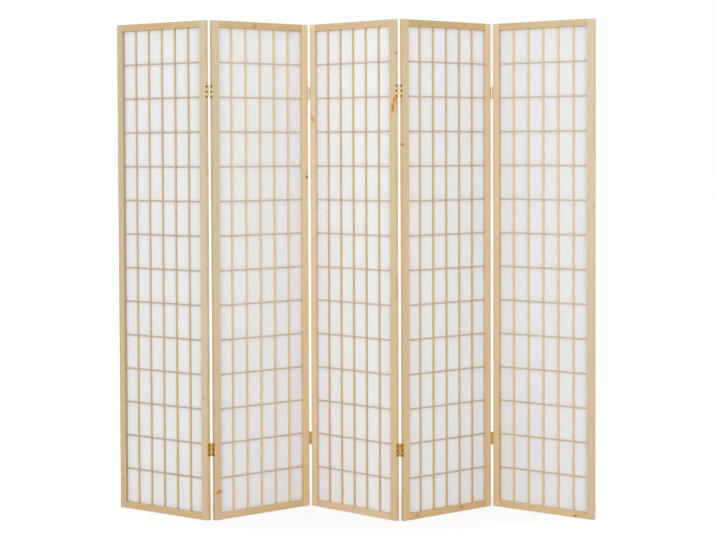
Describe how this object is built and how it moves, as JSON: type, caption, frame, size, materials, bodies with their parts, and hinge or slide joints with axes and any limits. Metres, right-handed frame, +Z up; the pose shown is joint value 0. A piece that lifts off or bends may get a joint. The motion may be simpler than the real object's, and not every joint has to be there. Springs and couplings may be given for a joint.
{
  "type": "folding shoji screen",
  "caption": "Free-standing folding room screen: hinged softwood frames, each holding a half-lapped slat lattice backed with white paper, standing zigzag.",
  "frame": {"origin": "middle of the middle panel's bottom face, on the floor", "axes": "+Z up; -Y towards the viewer, who sees the slat side; +X to the viewer's right along the screen"},
  "size_m": [1.7305, 0.3248, 1.785],
  "materials": {
    "frame_wood": "matte",
    "slat_wood": "matte",
    "paper": "matte",
    "hinge_brass": "satin",
    "screw_brass": "satin"
  },
  "bodies": {
    "panel_1": {"panel_1_left_stile": "frame_wood", "panel_1_right_stile": "frame_wood", "panel_1_top_rail": "frame_wood", "panel_1_bottom_rail": "frame_wood", "panel_1_vertical_slats": "slat_wood", "panel_1_horizontal_slats": "slat_wood", "panel_1_paper": "paper", "panel_1_hinge_screws": "screw_brass", "hinge_1_2_upper_left_leaf": "hinge_brass", "hinge_1_2_lower_left_leaf": "hinge_brass", "hinge_1_2_pins": "hinge_brass"},
    "panel_2": {"panel_2_left_stile": "frame_wood", "panel_2_right_stile": "frame_wood", "panel_2_top_rail": "frame_wood", "panel_2_bottom_rail": "frame_wood", "panel_2_vertical_slats": "slat_wood", "panel_2_horizontal_slats": "slat_wood", "panel_2_paper": "paper", "panel_2_hinge_screws": "screw_brass", "hinge_1_2_upper_right_leaf": "hinge_brass", "hinge_1_2_lower_right_leaf": "hinge_brass", "hinge_2_3_upper_left_leaf": "hinge_brass", "hinge_2_3_lower_left_leaf": "hinge_brass", "hinge_2_3_pins": "hinge_brass"},
    "panel_3": {"panel_3_left_stile": "frame_wood", "panel_3_right_stile": "frame_wood", "panel_3_top_rail": "frame_wood", "panel_3_bottom_rail": "frame_wood", "panel_3_vertical_slats": "slat_wood", "panel_3_horizontal_slats": "slat_wood", "panel_3_paper": "paper", "panel_3_hinge_screws": "screw_brass", "hinge_2_3_upper_right_leaf": "hinge_brass", "hinge_2_3_lower_right_leaf": "hinge_brass", "hinge_3_4_upper_left_leaf": "hinge_brass", "hinge_3_4_lower_left_leaf": "hinge_brass", "hinge_3_4_pins": "hinge_brass"},
    "panel_4": {"panel_4_left_stile": "frame_wood", "panel_4_right_stile": "frame_wood", "panel_4_top_rail": "frame_wood", "panel_4_bottom_rail": "frame_wood", "panel_4_vertical_slats": "slat_wood", "panel_4_horizontal_slats": "slat_wood", "panel_4_paper": "paper", "panel_4_hinge_screws": "screw_brass", "hinge_3_4_upper_right_leaf": "hinge_brass", "hinge_3_4_lower_right_leaf": "hinge_brass", "hinge_4_5_upper_left_leaf": "hinge_brass", "hinge_4_5_lower_left_leaf": "hinge_brass", "hinge_4_5_pins": "hinge_brass"},
    "panel_5": {"panel_5_left_stile": "frame_wood", "panel_5_right_stile": "frame_wood", "panel_5_top_rail": "frame_wood", "panel_5_bottom_rail": "frame_wood", "panel_5_vertical_slats": "slat_wood", "panel_5_horizontal_slats": "slat_wood", "panel_5_paper": "paper", "panel_5_hinge_screws": "screw_brass", "hinge_4_5_upper_right_leaf": "hinge_brass", "hinge_4_5_lower_right_leaf": "hinge_brass"}
  },
  "joints": [
    {"name": "fold_1_2", "type": "hinge", "parent": "panel_2", "child": "panel_1", "pos_m": [-0.51108, -0.12349, 0.8925], "axis": [0, 0, -1], "range_deg": [-79.1, 100.9]},
    {"name": "fold_2_3", "type": "hinge", "parent": "panel_3", "child": "panel_2", "pos_m": [-0.16342, 0.14822, 0.8925], "axis": [0, 0, 1], "range_deg": [-86.4, 93.6]},
    {"name": "fold_3_4", "type": "hinge", "parent": "panel_3", "child": "panel_4", "pos_m": [0.16342, -0.14822, 0.8925], "axis": [0, 0, 1], "range_deg": [-86.4, 93.6]},
    {"name": "fold_4_5", "type": "hinge", "parent": "panel_4", "child": "panel_5", "pos_m": [0.51108, 0.12349, 0.8925], "axis": [0, 0, -1], "range_deg": [-80.75, 99.25]}
  ],
  "couplings": [
    {"joint": "fold_3_4", "follows": "fold_2_3", "ratio": 1}
  ]
}
